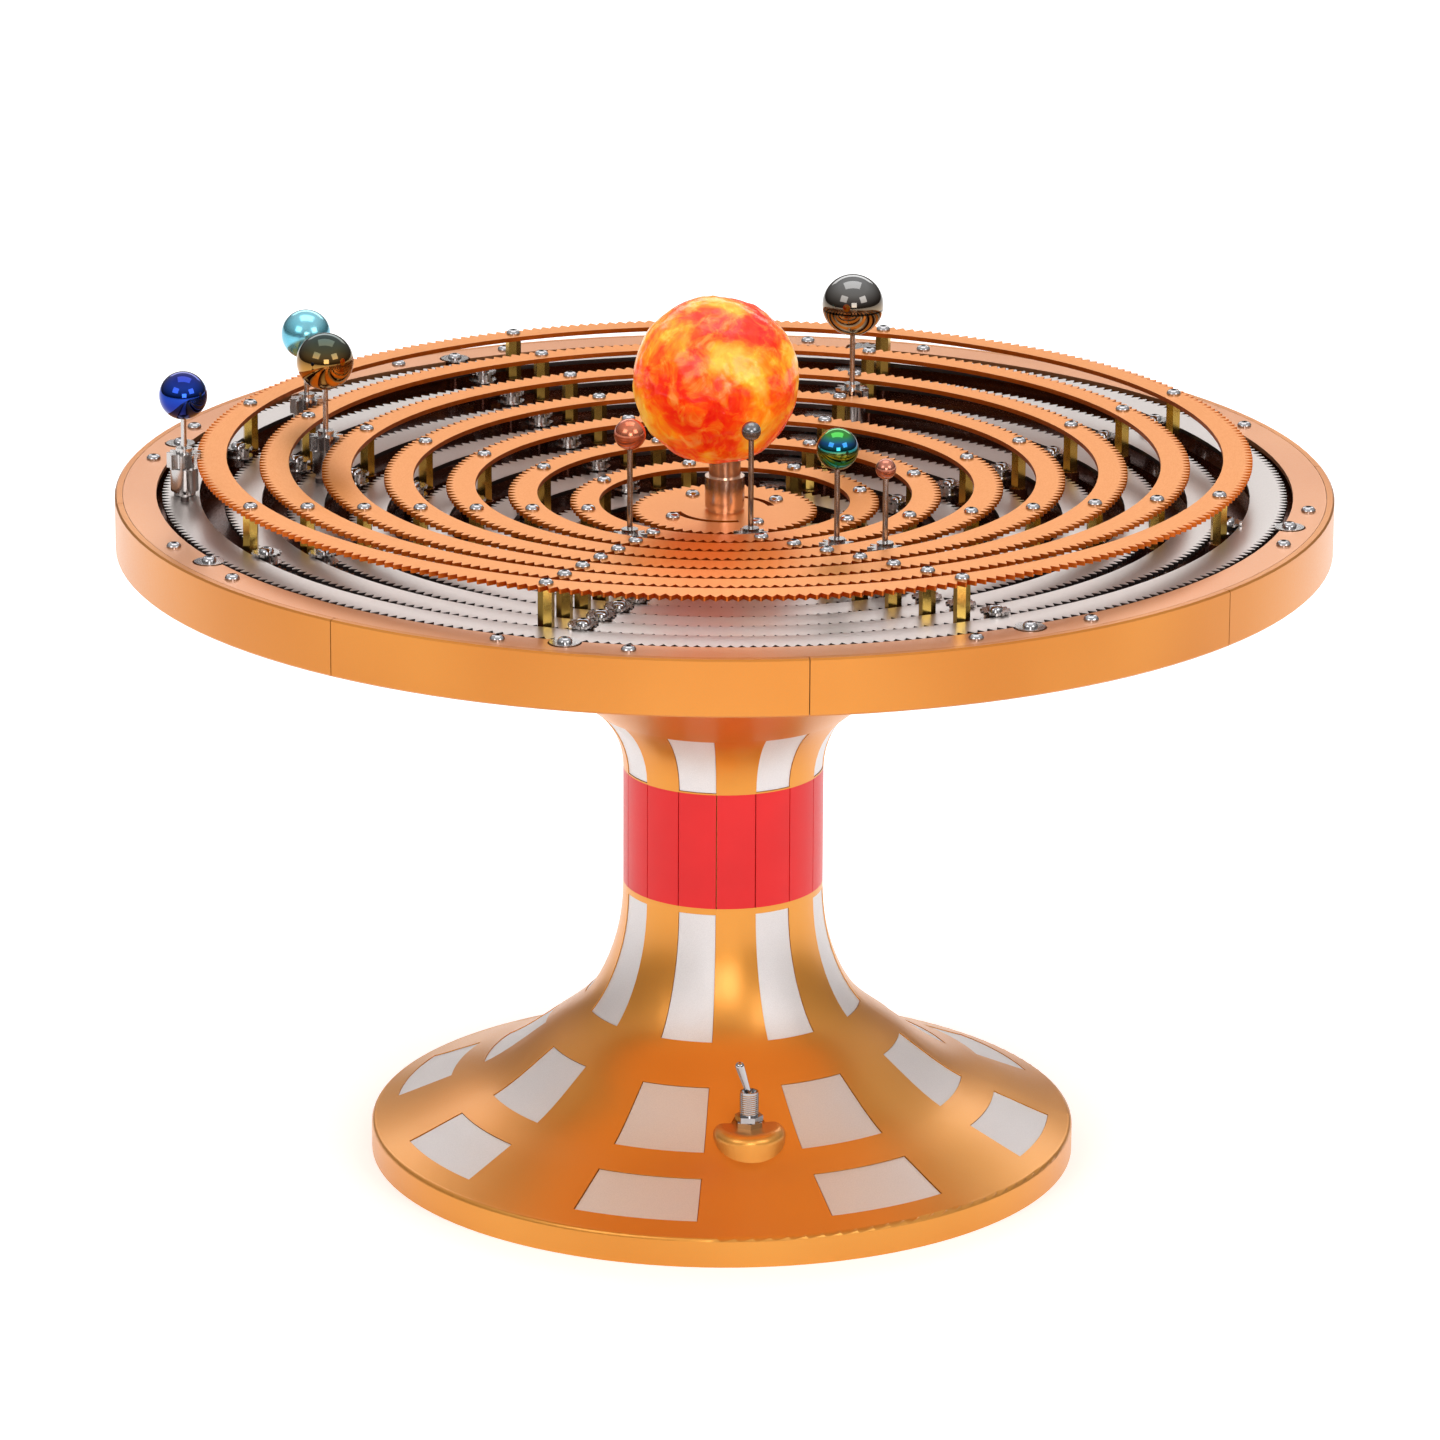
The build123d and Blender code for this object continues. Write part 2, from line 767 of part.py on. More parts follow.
def inlay_pockets(on_foot):
    pockets = []
    for curve, start, end, side in inlay_rows():
        if (side == 1) == on_foot:
            face = skin(curve, start, end, -side * shell_thickness, side * (inlay_recess + inlay_thickness))
            pockets += inlay_sector(face, inlay_width)
    return pockets


def base_shell():
    """Foot with its rim, the switch boss and the sleeve that the red band is fixed on."""
    curve = foot_curve()
    shell = revolve(skin(curve, 0, 1, 0, shell_thickness, 15), Axis.Z)
    end = curve.position_at(1)
    inner_end = curve_at(curve, 1, shell_thickness)
    inside = base_radius - shell_thickness
    low_edge = base_rim_height - 0.3 * base_rim_round
    rim = make_face([
        Line((end.X, end.Y), (inner_end.X, inner_end.Y)),
        Line((inner_end.X, inner_end.Y), (inside, base_rim_height / 2)),
        Line((inside, base_rim_height / 2), (inside, 0)),
        Line((inside, 0), (base_radius, 0)),
        Line((base_radius, 0), (base_radius, low_edge)),
        ThreePointArc((base_radius, low_edge),
                      (base_radius - base_rim_round * 0.27, base_rim_height + base_rim_round * 0.3),
                      (end.X, end.Y)),
    ])
    shell += revolve(Plane.XZ * rim, Axis.Z)
    sleeve_outer = neck_radius - band_thickness - glue_gap
    sleeve_inner = sleeve_outer - sleeve_thickness
    shoulder = sleeve_outer + sleeve_shoulder
    sleeve = turn_profile([
        (sleeve_inner, band_bottom - sleeve_below_band), (shoulder, band_bottom - sleeve_below_band),
        (shoulder, band_bottom),
        (sleeve_outer, band_bottom), (sleeve_outer, band_top + sleeve_above_band),
        (sleeve_inner, band_top + sleeve_above_band),
    ])
    shell += sleeve
    at = place(switch_radius, switch_angle)
    boss = rod(boss_radius, boss_top - boss_depth, boss_top)
    shell += at * fillet(boss.edges().sort_by(Axis.Z)[-1], boss_round)
    above = boss_top + bushing_rise
    below = boss_top - boss_depth - shell_thickness
    shell -= at * rod(niche_radius, boss_top, above)
    shell -= at * rod(boss_radius - boss_wall, below, boss_top - boss_wall)
    shell -= at * rod(bushing_radius + glue_gap, below, above)
    return shell - inlay_pockets(True)


def base_cover():
    return rod(base_radius - shell_thickness - cover_gap, 0, cover_thickness)


def red_band():
    turn = 360.0 / band_panels
    seam = math.degrees(band_seam / neck_radius)
    face = Plane.XZ * make_face(Polyline(
        (neck_radius - band_thickness, band_bottom), (neck_radius, band_bottom), (neck_radius, band_top),
        (neck_radius - band_thickness, band_top), close=True))
    panel = revolve(face, Axis.Z, turn - seam)
    return [Rot(0, 0, turned(first_station + turn * (n - 0.5) + seam / 2)) * panel
            for n in range(band_panels)]


def neck_flare():
    lower, upper = flare_curve()
    shell = revolve(skin(lower, 0, 1, 0, -(band_thickness - glue_gap), 9), Axis.Z)
    shell += revolve(skin(upper, 0, 1, 0, -(band_thickness - glue_gap), 9), Axis.Z)
    mouth = flare_mouth_radius
    flange_inner = mouth - floor_seat - floor_gap
    shell += tube(mouth, flange_inner, table_bottom - flare_flange, table_bottom)
    above = table_bottom + shell_thickness
    shell -= tube(mouth + shell_thickness, flange_inner - shell_thickness, table_bottom, above)
    return shell - inlay_pockets(False)


# ---------------------------------------------------------------- sun, switch, motor, batteries

def sun_post():
    level = track_level(0)
    return turn_profile([
        (0, level), (post_foot_radius, level), (post_foot_radius, level + post_foot_height),
        (post_lower_radius, level + post_foot_height), (post_lower_radius, level + post_lower_height),
        (post_upper_radius, level + post_lower_height), (post_upper_radius, level + post_height),
        (0, level + post_height),
    ])


def sun_globe():
    ball = Pos(-sun_lean, 0, sun_height) * Sphere(sun_diameter / 2)
    top = track_level(0) + post_height + glue_gap
    return ball - rod(post_upper_radius + glue_gap, sun_height - sun_diameter, top)


def switch_body():
    """Body under the boss, threaded bushing through it and two nuts on top."""
    at = place(switch_radius, switch_angle)
    length, width, height = switch_body_size
    underside = boss_top - boss_wall
    mouth = boss_top + bushing_rise
    body = Pos(0, 0, underside - height / 2) * Box(width, length, height)
    bushing = rod(bushing_radius, underside - 1, mouth)
    pivot = mouth - lever_pivot_depth
    bore_bottom = pivot - 2 * lever_ball_radius
    funnel = turn_profile([
        (0, bore_bottom), (bushing_bore_radius, bore_bottom), (bushing_bore_radius, pivot),
        (bushing_radius - bushing_lip, mouth), (0, mouth),
    ])
    solids = [at * (body + bushing - funnel)]
    for n in range(2):
        nut = hexagon(nut_flats, nut_height) - rod(bushing_radius + glue_gap, -1, nut_height + 1)
        turn = 17.0 * n
        solids.append(at * Pos(0, 0, boss_top + n * (nut_height + glue_gap)) * Rot(0, 0, turn) * nut)
    return solids


def switch_lever():
    """Bat lever, thrown to the left about a radial pin."""
    length = lever_length + lever_pivot_depth
    shape = revolve(Plane.XZ * make_face([
        Line((0, 0), (lever_root_radius * 0.8, 0)),
        Line((lever_root_radius * 0.8, 0), (lever_tip_radius, length - lever_tip_radius)),
        ThreePointArc((lever_tip_radius, length - lever_tip_radius),
                      (lever_tip_radius * math.sin(math.pi / 4),
                       length - lever_tip_radius * (1 - math.cos(math.pi / 4))),
                      (0, length)),
        Line((0, length), (0, 0)),
    ]), Axis.Z)
    shape += Sphere(lever_ball_radius)
    shape += Rot(0, 90, 0) * rod(lever_pin_radius, -lever_pin_reach, lever_pin_reach)
    pivot = boss_top + bushing_rise - lever_pivot_depth
    return place(switch_radius, switch_angle, pivot) * Rot(lever_angle, 0, 0) * shape


def gear_motor():
    """Motor can hanging in the neck, its flange resting on top of the sleeve."""
    seat = band_top + sleeve_above_band
    flange = neck_radius - band_thickness - glue_gap - sleeve_thickness + motor_flange_overlap
    top = seat + motor_flange_thickness + gearbox_height
    return turn_profile([
        (0, seat - motor_length), (motor_radius, seat - motor_length), (motor_radius, seat),
        (flange, seat), (flange, seat + motor_flange_thickness),
        (gearbox_radius, seat + motor_flange_thickness), (gearbox_radius, top), (0, top),
    ])


def main_shaft():
    bottom = band_top + sleeve_above_band + motor_flange_thickness + gearbox_height + running_gap
    half = pulley_height / 2
    level = belt_level(1)
    return turn_profile([
        (0, bottom), (main_shaft_radius, bottom), (main_shaft_radius, level - half),
        (small_pulley_radius, level - half), (small_pulley_radius, level + half), (0, level + half),
    ])


def battery_box():
    length, width, height = battery_box_size
    box = Pos(0, 0, cover_thickness + height / 2) * Box(length, width, height)
    return fillet(box.edges().filter_by(Axis.Z), battery_box_edge)


# ---------------------------------------------------------------- write every piece

for k in range(ring_count):
    save(f"{planet_names[k]}_track", [track(k)])
for i in range(1, ring_count + 1):
    name = planet_names[i - 1]
    save(f"{name}_orbit_ring", orbit_ring(i))
    save(f"{name}_spindle", [spindle(i)])
    save(f"{name}_ball", [planet_ball(i)])
    save(f"{name}_drive_shaft", [drive_shaft(i)])

rollers, screws = all_rollers()
for r, a in rim_screw_places():
    screws.append(place(r, a, table_top) * cap_screw(rim_plate_thickness + rim_ledge_thickness))
for k in range(ring_count):
    for r, a in standoff_places(k):
        screws.append(place(r, a, track_level(k)) * cap_screw(track_thickness + standoff_flats))
save("guide_rollers", rollers)
save("cap_screws", screws)
save("standoffs", [place(r, a) * standoff(k) for k in range(ring_count) for r, a in standoff_places(k)])

save("deck", [deck()])
save("drive_belts", drive_belts())
save("main_shaft", [main_shaft()])
save("rim_wall", rim_wall())
save("rim_plate", [rim_plate()])
save("table_floor", [table_floor()])
save("base_shell", [base_shell()])
save("base_cover", [base_cover()])
save("red_band", red_band())
save("neck_flare", [neck_flare()])
save("silver_inlays", inlays())
save("sun_post", [sun_post()])
save("sun_globe", [sun_globe()])
save("switch_body", switch_body())
save("switch_lever", [switch_lever()])
save("gear_motor", [gear_motor()])
save("battery_box", [battery_box()])
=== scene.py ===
import bpy
import bmesh
import json
import math
from mathutils import Matrix, Vector, noise


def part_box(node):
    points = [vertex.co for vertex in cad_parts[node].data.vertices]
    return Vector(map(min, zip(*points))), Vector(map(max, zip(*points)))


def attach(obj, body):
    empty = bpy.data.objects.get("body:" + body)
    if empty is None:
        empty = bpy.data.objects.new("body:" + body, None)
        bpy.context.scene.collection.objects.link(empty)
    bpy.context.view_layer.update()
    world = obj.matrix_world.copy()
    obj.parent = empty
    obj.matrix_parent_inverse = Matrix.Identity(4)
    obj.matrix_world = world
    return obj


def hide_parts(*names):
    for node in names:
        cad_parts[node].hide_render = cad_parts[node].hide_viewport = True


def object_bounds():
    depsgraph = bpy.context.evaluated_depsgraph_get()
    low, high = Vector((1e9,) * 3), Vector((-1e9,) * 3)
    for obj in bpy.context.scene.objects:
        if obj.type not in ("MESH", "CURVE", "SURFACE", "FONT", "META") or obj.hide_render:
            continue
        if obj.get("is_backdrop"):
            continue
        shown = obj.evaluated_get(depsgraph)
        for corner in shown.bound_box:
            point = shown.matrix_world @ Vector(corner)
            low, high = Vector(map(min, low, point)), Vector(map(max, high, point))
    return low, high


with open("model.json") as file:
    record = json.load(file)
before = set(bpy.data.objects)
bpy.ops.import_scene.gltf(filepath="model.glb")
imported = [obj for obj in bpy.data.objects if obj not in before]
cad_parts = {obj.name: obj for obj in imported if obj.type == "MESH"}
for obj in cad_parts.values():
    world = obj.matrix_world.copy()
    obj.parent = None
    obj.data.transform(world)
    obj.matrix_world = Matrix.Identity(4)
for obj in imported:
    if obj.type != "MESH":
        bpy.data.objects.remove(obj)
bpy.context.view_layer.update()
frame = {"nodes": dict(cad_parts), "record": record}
nodes = frame["nodes"]
planetNames = ["mercury", "venus", "earth", "mars", "jupiter", "saturn", "uranus", "neptune"]
print("frame loaded,", len(nodes), "nodes")


# camera
camera = {
    "place": (-0.0012, -2.4345, 0.9032),
    "pitch": 72.78,      # degrees from looking straight down
    "roll": 0.25,
    "lens": 192.0,
    "sensor": 36.0,
    "near": 0.05,
    "far": 30.0,
}


def makeCamera(c):
    data = bpy.data.cameras.new("camera")
    data.lens = c["lens"]
    data.sensor_width = c["sensor"]
    data.clip_start = c["near"]
    data.clip_end = c["far"]
    cam = bpy.data.objects.new("camera", data)
    bpy.context.scene.collection.objects.link(cam)
    turn = Matrix.Rotation(math.radians(c["pitch"]), 4, "X")
    turn = turn @ Matrix.Rotation(math.radians(c["roll"]), 4, "Z")
    cam.matrix_world = Matrix.Translation(c["place"]) @ turn
    bpy.context.scene.camera = cam


makeCamera(camera)
print("camera set")


# small helpers for node trees
class Shader:
    # a material with one principled shader, and short calls for the nodes that feed it
    def __init__(self, name, **sockets):
        self.mat = bpy.data.materials.new(name)
        self.mat.use_nodes = True
        self.tree = self.mat.node_tree
        self.skin = self.tree.nodes["Principled BSDF"]
        for key, value in sockets.items():
            self.set(key, value)
        self.coord = self.add("ShaderNodeTexCoord").outputs["Object"]

    def set(self, key, value):
        names = {"metal": "Metallic", "rough": "Roughness", "coat": "Coat Weight",
                 "coatRough": "Coat Roughness", "ior": "IOR", "specular": "Specular IOR Level",
                 "subsurface": "Subsurface Weight", "scale": "Subsurface Scale",
                 "glow": "Emission Strength"}
        self.skin.inputs[names[key]].default_value = value

    def add(self, kind, **values):
        node = self.tree.nodes.new(kind)
        for key, value in values.items():
            setattr(node, key, value)
        return node

    def link(self, a, b):
        self.tree.links.new(a, b)

    def stretch(self, scale):
        node = self.add("ShaderNodeMapping")
        node.inputs["Scale"].default_value = scale
        self.link(self.coord, node.inputs["Vector"])
        return node.outputs["Vector"]

    def noise(self, scale, detail=3.0, rough=0.5, source=None, distortion=0.0):
        node = self.add("ShaderNodeTexNoise")
        node.inputs["Scale"].default_value = scale
        node.inputs["Detail"].default_value = detail
        node.inputs["Roughness"].default_value = rough
        node.inputs["Distortion"].default_value = distortion
        self.link(source or self.coord, node.inputs["Vector"])
        return node.outputs["Fac"]

    def ramp(self, factor, stops):
        node = self.add("ShaderNodeValToRGB")
        ramp = node.color_ramp
        while len(ramp.elements) < len(stops):
            ramp.elements.new(0.5)
        for element, (place, colour) in zip(ramp.elements, stops):
            element.position = place
            tint = linear(colour) if isinstance(colour, tuple) else (colour,) * 3
            element.color = (*tint, 1.0)
        self.link(factor, node.inputs["Fac"])
        return node.outputs["Color"]

    def span(self, factor, low, high):
        node = self.add("ShaderNodeMapRange")
        node.inputs["To Min"].default_value = low
        node.inputs["To Max"].default_value = high
        self.link(factor, node.inputs["Value"])
        return node.outputs["Result"]

    def maths(self, what, a, b=None):
        node = self.add("ShaderNodeMath", operation=what)
        for socket, value in zip(node.inputs, (a, b)):
            if isinstance(value, (int, float)):
                socket.default_value = value
            elif value is not None:
                self.link(value, socket)
        return node.outputs["Value"]

    def mix(self, factor, a, b, how="MIX"):
        node = self.add("ShaderNodeMix", data_type="RGBA", blend_type=how)
        if isinstance(factor, (int, float)):
            node.inputs["Factor"].default_value = factor
        else:
            self.link(factor, node.inputs["Factor"])
        for socket, value in ((node.inputs[6], a), (node.inputs[7], b)):
            if isinstance(value, tuple):
                socket.default_value = (*linear(value), 1.0)
            else:
                self.link(value, socket)
        return node.outputs[2]

    def colour(self, source):
        self.link(source, self.skin.inputs["Base Color"])

    def roughness(self, source):
        self.link(source, self.skin.inputs["Roughness"])

    def bump(self, height, strength, distance, after=None):
        node = self.add("ShaderNodeBump")
        node.inputs["Strength"].default_value = strength
        node.inputs["Distance"].default_value = distance
        self.link(height, node.inputs["Height"])
        if after:
            self.link(after, node.inputs["Normal"])
        self.link(node.outputs["Normal"], self.skin.inputs["Normal"])
        return node.outputs["Normal"]

    def facing(self):
        # how far a face looks up or down, 0 on side faces and 1 on flat ones
        split = self.add("ShaderNodeSeparateXYZ")
        self.link(self.add("ShaderNodeNewGeometry").outputs["True Normal"], split.inputs[0])
        return self.maths("ABSOLUTE", split.outputs["Z"])

    def turned(self, fine):
        # noise in circles about Z: long along the circle and fine across it
        split = self.add("ShaderNodeSeparateXYZ")
        self.link(self.coord, split.inputs[0])
        x, y, z = split.outputs
        radius = self.maths("SQRT", self.maths("ADD", self.maths("MULTIPLY", x, x),
                                               self.maths("MULTIPLY", y, y)))
        angle = self.maths("ARCTAN2", y, x)
        join = self.add("ShaderNodeCombineXYZ")
        self.link(radius, join.inputs[0])
        self.link(self.maths("MULTIPLY", angle, 0.03), join.inputs[1])
        self.link(z, join.inputs[2])
        return self.noise(fine, 4.0, 0.6, join.outputs["Vector"])


def linear(colour):
    # 0-255 screen colour to the linear values that sockets take
    shares = [c / 255 for c in colour]
    return tuple(v / 12.92 if v < 11 / 255 else ((v + 0.055) / 1.055) ** 2.4 for v in shares)


# finishes
def goldLacquer(name, light, dark):
    # metal-flake lacquer: fine sparkle, slow change of tone, a clear coat
    s = Shader(name, metal=0.8, rough=0.36, coat=0.25, coatRough=0.2)
    slow = s.noise(9.0, 2.0)
    flake = s.noise(2600.0, 1.0, 0.7)
    tone = s.ramp(slow, ((0.3, dark), (0.7, light)))
    s.colour(s.mix(s.span(flake, 0.0, 0.4), tone, (255, 190, 110), "SOFT_LIGHT"))
    s.roughness(s.span(flake, 0.25, 0.46))
    s.bump(flake, 0.12, 0.0002, s.bump(s.noise(600.0, 2.0), 0.05, 0.0004))
    return s.mat


def satinCopper(name, face, edge):
    # copper sheet: satin flat faces with a circular grain, and orange cut edges
    s = Shader(name, metal=0.85, rough=0.38, coat=0.12, coatRough=0.25)
    grain = s.turned(2400.0)
    flat = s.ramp(s.facing(), ((0.35, 0.0), (0.65, 1.0)))
    tone = s.mix(s.span(grain, 0.0, 0.5), face, tuple(max(c - 26, 0) for c in face))
    cut = s.mix(s.span(s.noise(420.0, 3.0), 0.0, 0.8), edge, tuple(int(c * 0.72) for c in edge))
    s.colour(s.mix(flat, cut, tone))
    s.roughness(s.span(grain, 0.3, 0.48))
    s.bump(grain, 0.10, 0.0001)
    return s.mat


def satinSheet(name, face, edge):
    # bright sheet steel with a circular grain
    s = Shader(name, metal=0.95, rough=0.3)
    grain = s.turned(3000.0)
    flat = s.ramp(s.facing(), ((0.35, 0.0), (0.65, 1.0)))
    tone = s.mix(s.span(grain, 0.0, 0.6), face, tuple(max(c - 22, 0) for c in face))
    s.colour(s.mix(flat, edge, tone))
    s.roughness(s.span(grain, 0.24, 0.42))
    s.bump(grain, 0.12, 0.0001)
    return s.mat


def frostedSilver(name):
    # blasted silver: a fine sparkling grain
    s = Shader(name, metal=0.62, rough=0.42)
    grain = s.noise(3800.0, 2.0, 0.8)
    cloud = s.noise(40.0, 3.0)
    tone = s.mix(s.span(grain, 0.0, 1.0), (244, 241, 240), (208, 205, 205))
    s.colour(s.mix(s.span(cloud, 0.0, 0.3), tone, (222, 220, 226)))
    s.roughness(s.span(grain, 0.3, 0.58))
    s.bump(grain, 0.3, 0.00025)
    return s.mat


def redLacquer(name):
    # satin red panels whose tone drifts a little
    s = Shader(name, metal=0.0, rough=0.46, coat=0.06, coatRough=0.3, specular=0.35)
    orange = s.noise(900.0, 2.0)
    slow = s.noise(26.0, 3.0)
    s.colour(s.ramp(slow, ((0.3, (222, 12, 18)), (0.7, (240, 22, 26)))))
    s.roughness(s.span(orange, 0.28, 0.42))
    s.bump(orange, 0.08, 0.0002)
    return s.mat


def brightMetal(name, colour, rough=(0.04, 0.14)):
    # plated or turned small parts, with faint handling marks
    s = Shader(name, metal=1.0, rough=0.1)
    mark = s.noise(1800.0, 4.0, 0.7, s.stretch((1.0, 1.0, 9.0)))
    cloud = s.noise(300.0, 2.0)
    s.colour(s.mix(s.span(cloud, 0.0, 0.4), colour, tuple(int(c * 0.82) for c in colour)))
    s.roughness(s.span(mark, *rough))
    s.bump(mark, 0.06, 0.00008)
    return s.mat


def darkPlate(name):
    # deck: dark brown copper lacquer, glossy, with slow clouds
    s = Shader(name, metal=0.75, rough=0.24, coat=0.3, coatRough=0.08)
    cloud = s.noise(30.0, 4.0)
    fine = s.noise(1500.0, 2.0)
    s.colour(s.ramp(cloud, ((0.3, (74, 34, 20)), (0.55, (112, 58, 34)), (0.8, (142, 80, 48)))))
    s.roughness(s.span(fine, 0.16, 0.34))
    s.bump(fine, 0.06, 0.0002)
    return s.mat


def moulded(name, colour, rough=(0.45, 0.7)):
    # black or grey moulded plastic with a spark-eroded grain
    s = Shader(name, metal=0.0, rough=0.55, specular=0.4)
    grain = s.noise(1400.0, 3.0, 0.6)
    slow = s.noise(30.0, 2.0)
    s.colour(s.mix(s.span(slow, 0.0, 0.5), colour, tuple(min(c + 14, 255) for c in colour)))
    s.roughness(s.span(grain, *rough))
    s.bump(grain, 0.25, 0.0002)
    return s.mat


def sunResin(name):
    # cast resin, mottled red, orange and yellow, with a painted glow: the same colours feed its
    # emission to brighten it
    s = Shader(name, metal=0.0, rough=0.28, coat=0.12, coatRough=0.08, ior=1.45,
               subsurface=0.15, scale=0.002)
    blobs = s.noise(46.0, 5.0, 0.55, distortion=0.5)
    spots = s.noise(150.0, 4.0, 0.6, distortion=0.7)
    body = s.ramp(blobs, ((0.34, (226, 18, 6)), (0.42, (246, 48, 8)), (0.48, (253, 96, 10)),
                          (0.55, (255, 160, 22)), (0.64, (255, 216, 80))))
    hot = s.ramp(spots, ((0.36, (220, 20, 4)), (0.46, (248, 64, 8)), (0.56, (255, 146, 20)),
                         (0.68, (255, 220, 100))))
    colour = s.mix(0.36, body, hot)
    s.colour(colour)
    # painted glow: the mottled colour also drives emission, so the globe shines beyond its
    # lighting
    s.link(colour, s.skin.inputs["Emission Color"])
    s.set("glow", 0.36)
    s.roughness(s.span(s.noise(240.0, 3.0), 0.08, 0.3))
    s.bump(s.noise(210.0, 5.0, 0.62), 0.4, 0.0009)
    return s.mat


def pearlBall(name, stops):
    # lacquered ball whose tone drifts over its surface
    s = Shader(name, metal=0.85, rough=0.2, coat=0.5, coatRough=0.06)
    drift = s.noise(60.0, 3.0, 0.5, distortion=0.6)
    s.colour(s.ramp(drift, stops))
    fine = s.noise(3200.0, 2.0)
    s.roughness(s.span(fine, 0.14, 0.3))
    s.bump(fine, 0.04, 0.0001)
    return s.mat


def mirrorBall(name, centre, radius, stops):
    # polished ball whose colour runs from the top down to the bottom: its own tint mixed with
    # painted reflection of what lies above and below it
    s = Shader(name, metal=1.0, rough=0.06, coat=0.2, coatRough=0.02)
    split = s.add("ShaderNodeSeparateXYZ")
    s.link(s.coord, split.inputs[0])
    height = s.add("ShaderNodeMapRange")
    height.inputs["From Min"].default_value = centre - radius
    height.inputs["From Max"].default_value = centre + radius
    s.link(split.outputs["Z"], height.inputs["Value"])
    wobble = s.maths("ADD", height.outputs["Result"], s.span(s.noise(90.0, 2.0), -0.08, 0.08))
    # painted reflection: colour laid by height on the ball, standing in for the parts below and
    # the room above that it mirrors
    s.colour(s.ramp(wobble, stops))
    fine = s.noise(1900.0, 3.0)
    s.roughness(s.span(fine, 0.03, 0.1))
    return s.mat


seamLine = {
    "drop": -0.12,          # from the ball's middle, as a share of its radius
    "half": 0.00035,        # half the line's height
    "tone": (0.02, 0.016, 0.012, 1.0),
}


def seamedBall(name, centre, radius, stops, c):
    # polished ball with a fine dark line a little below its middle
    mat = mirrorBall(name, centre, radius, stops)
    tree = mat.node_tree
    skin = tree.nodes["Principled BSDF"]
    before = skin.inputs["Base Color"].links[0].from_socket
    split = [n for n in tree.nodes if n.bl_idname == "ShaderNodeSeparateXYZ"][0]
    away = tree.nodes.new("ShaderNodeMath")
    away.operation = "COMPARE"
    tree.links.new(split.outputs["Z"], away.inputs[0])
    away.inputs[1].default_value = centre + c["drop"] * radius
    away.inputs[2].default_value = c["half"]
    mix = tree.nodes.new("ShaderNodeMix")
    mix.data_type = "RGBA"
    tree.links.new(away.outputs["Value"], mix.inputs["Factor"])
    tree.links.new(before, mix.inputs[6])
    mix.inputs[7].default_value = c["tone"]
    tree.links.new(mix.outputs[2], skin.inputs["Base Color"])
    return mat


finishes = {
    "shell": goldLacquer("goldLacquer", (228, 162, 78), (212, 142, 58)),
    # the wall's copy of the gold lacquer is darker than the shell's: painted shade on the wall
    "wall": goldLacquer("shadedWallLacquer", (212, 142, 64), (190, 120, 46)),
    "rimPlate": goldLacquer("roseLacquer", (220, 160, 118), (202, 140, 98)),
    "track": satinCopper("satinCopper", (232, 148, 62), (216, 106, 20)),
    "ring": satinSheet("satinSteel", (208, 200, 196), (92, 84, 82)),
    "silver": frostedSilver("frostedSilver"),
    "red": redLacquer("redLacquer"),
    "chrome": brightMetal("brightChrome", (186, 184, 186)),
    "brass": brightMetal("turnedBrass", (226, 190, 96), (0.12, 0.3)),
    "steel": brightMetal("turnedSteel", (196, 192, 190), (0.1, 0.28)),
    "rose": brightMetal("roseGold", (248, 214, 192), (0.12, 0.28)),
    "deck": darkPlate("darkCopper"),
    "cover": moulded("blackMoulding", (34, 31, 30)),
    "battery": moulded("batteryCase", (22, 22, 24)),
    "belt": moulded("beltRubber", (24, 24, 25), (0.6, 0.85)),
    "motor": brightMetal("motorCan", (150, 150, 154), (0.25, 0.42)),
}

nodeFinish = {
    "base_shell": "shell", "neck_flare": "shell", "rim_wall": "wall", "rim_plate": "rimPlate",
    "silver_inlays": "silver", "base_cover": "cover", "table_floor": "cover", "red_band": "red",
    "cap_screws": "chrome", "deck": "deck", "standoffs": "brass", "guide_rollers": "steel",
    "sun_post": "rose", "switch_body": "chrome", "switch_lever": "chrome", "gear_motor": "motor",
    "battery_box": "battery", "drive_belts": "belt", "main_shaft": "steel",
}
for name in planetNames:
    nodeFinish[name + "_track"] = "track"
    nodeFinish[name + "_orbit_ring"] = "ring"
    nodeFinish[name + "_spindle"] = "steel"
    nodeFinish[name + "_drive_shaft"] = "steel"


def giveFinish(obj, material):
    if not obj.material_slots:
        obj.data.materials.append(material)
    for slot in obj.material_slots:
        slot.material = material


for node, finish in nodeFinish.items():
    giveFinish(nodes[node], finishes[finish])
print("finishes given to", len(nodeFinish), "nodes")


# planets
# each ball's own tint; the mirror and seamed stops run bottom to top and also hold painted
# reflection, such as Jupiter's light brown lower part
ballTintsAndReflections = {
    "mercury": ("pearl", ((0.3, (112, 112, 116)), (0.7, (150, 149, 150)))),
    "venus": ("pearl", ((0.3, (172, 66, 38)), (0.5, (204, 98, 62)), (0.75, (222, 140, 104)))),
    "earth": ("mirror", ((0.0, (26, 92, 110)), (0.25, (20, 140, 96)), (0.42, (150, 176, 50)),
                         (0.55, (18, 128, 118)), (0.72, (30, 92, 160)), (0.9, (60, 150, 60)))),
    "mars": ("pearl", ((0.3, (182, 104, 82)), (0.7, (214, 140, 114)))),
    "jupiter": ("seamed", ((0.0, (110, 88, 62)), (0.3, (190, 164, 126)), (0.45, (140, 120, 94)),
                           (0.62, (96, 90, 84)), (1.0, (130, 130, 130)))),
    "saturn": ("mirror", ((0.0, (120, 84, 40)), (0.3, (196, 140, 60)), (0.52, (150, 108, 50)),
                          (0.75, (84, 78, 52)), (1.0, (54, 74, 72)))),
    "uranus": ("pearl", ((0.3, (72, 164, 194)), (0.55, (112, 198, 220)), (0.8, (160, 222, 234)))),
    "neptune": ("mirror", ((0.0, (38, 30, 96)), (0.35, (22, 44, 142)), (0.6, (20, 66, 172)),
                           (1.0, (34, 40, 128)))),
}
